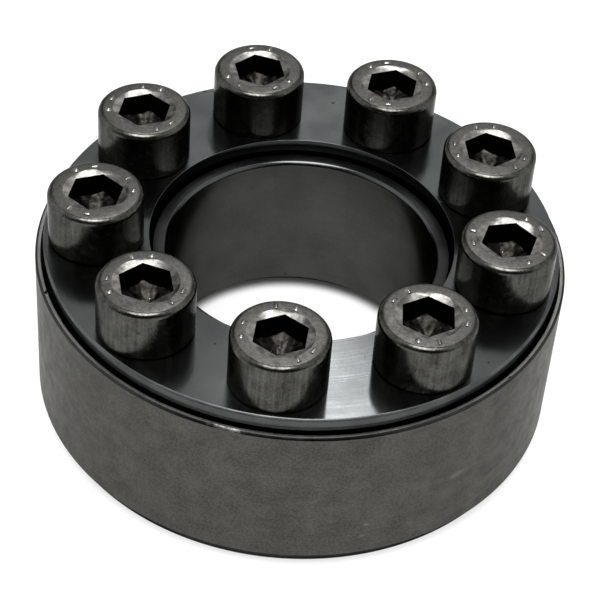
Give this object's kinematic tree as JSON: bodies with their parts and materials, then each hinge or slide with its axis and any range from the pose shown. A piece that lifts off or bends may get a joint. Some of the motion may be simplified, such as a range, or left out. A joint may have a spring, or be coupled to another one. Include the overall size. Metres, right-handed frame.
{
  "type": "keyless locking assembly",
  "caption": "Round locking assembly that clamps a hub to a plain shaft: screws draw two tapered thrust rings between a slit inner and a slit outer ring.",
  "frame": {"origin": "on the bore axis, in the rear face of the rear thrust ring, which it stands on", "axes": "+Z along the bore axis towards the screw heads, -Y through the first screw"},
  "size_m": [0.055, 0.055, 0.0262],
  "materials": {
    "ring_steel": "fine ground, matt",
    "thrust_steel": "turned, satin",
    "inner_steel": "turned, satin",
    "screw_steel": "cold forged, satin"
  },
  "bodies": {
    "base_rings": {"rear_thrust_ring": "thrust_steel", "outer_ring": "ring_steel", "inner_ring": "inner_steel"},
    "front_ring": {"front_thrust_ring": "thrust_steel"},
    "screw_1_body": {"screw_1": "screw_steel"},
    "screw_2_body": {"screw_2": "screw_steel"},
    "screw_3_body": {"screw_3": "screw_steel"},
    "screw_4_body": {"screw_4": "screw_steel"},
    "screw_5_body": {"screw_5": "screw_steel"},
    "screw_6_body": {"screw_6": "screw_steel"},
    "screw_7_body": {"screw_7": "screw_steel"},
    "screw_8_body": {"screw_8": "screw_steel"},
    "screw_9_body": {"screw_9": "screw_steel"}
  },
  "joints": [
    {"name": "clamping_slide", "type": "slide", "parent": "base_rings", "child": "front_ring", "axis": [0, 0, 1], "range_m": [-0.0004, 0.006]},
    {"name": "screw_1_turn", "type": "hinge", "parent": "front_ring", "child": "screw_1_body", "pos_m": [0, -0.02123, 0.0202], "axis": [0, 0, 1], "range_deg": [-144, 2160]},
    {"name": "screw_2_turn", "type": "hinge", "parent": "front_ring", "child": "screw_2_body", "pos_m": [0.01364, -0.01626, 0.0202], "axis": [0, 0, 1], "range_deg": [-144, 2160]},
    {"name": "screw_3_turn", "type": "hinge", "parent": "front_ring", "child": "screw_3_body", "pos_m": [0.0209, -0.00369, 0.0202], "axis": [0, 0, 1], "range_deg": [-144, 2160]},
    {"name": "screw_4_turn", "type": "hinge", "parent": "front_ring", "child": "screw_4_body", "pos_m": [0.01838, 0.01061, 0.0202], "axis": [0, 0, 1], "range_deg": [-144, 2160]},
    {"name": "screw_5_turn", "type": "hinge", "parent": "front_ring", "child": "screw_5_body", "pos_m": [0.00726, 0.01995, 0.0202], "axis": [0, 0, 1], "range_deg": [-144, 2160]},
    {"name": "screw_6_turn", "type": "hinge", "parent": "front_ring", "child": "screw_6_body", "pos_m": [-0.00726, 0.01995, 0.0202], "axis": [0, 0, 1], "range_deg": [-144, 2160]},
    {"name": "screw_7_turn", "type": "hinge", "parent": "front_ring", "child": "screw_7_body", "pos_m": [-0.01838, 0.01061, 0.0202], "axis": [0, 0, 1], "range_deg": [-144, 2160]},
    {"name": "screw_8_turn", "type": "hinge", "parent": "front_ring", "child": "screw_8_body", "pos_m": [-0.0209, -0.00369, 0.0202], "axis": [0, 0, 1], "range_deg": [-144, 2160]},
    {"name": "screw_9_turn", "type": "hinge", "parent": "front_ring", "child": "screw_9_body", "pos_m": [-0.01364, -0.01626, 0.0202], "axis": [0, 0, 1], "range_deg": [-144, 2160]}
  ],
  "couplings": [
    {"joint": "screw_1_turn", "follows": "clamping_slide", "rad_per_m": 6283.2},
    {"joint": "screw_2_turn", "follows": "clamping_slide", "rad_per_m": 6283.2},
    {"joint": "screw_3_turn", "follows": "clamping_slide", "rad_per_m": 6283.2},
    {"joint": "screw_4_turn", "follows": "clamping_slide", "rad_per_m": 6283.2},
    {"joint": "screw_5_turn", "follows": "clamping_slide", "rad_per_m": 6283.2},
    {"joint": "screw_6_turn", "follows": "clamping_slide", "rad_per_m": 6283.2},
    {"joint": "screw_7_turn", "follows": "clamping_slide", "rad_per_m": 6283.2},
    {"joint": "screw_8_turn", "follows": "clamping_slide", "rad_per_m": 6283.2},
    {"joint": "screw_9_turn", "follows": "clamping_slide", "rad_per_m": 6283.2}
  ]
}
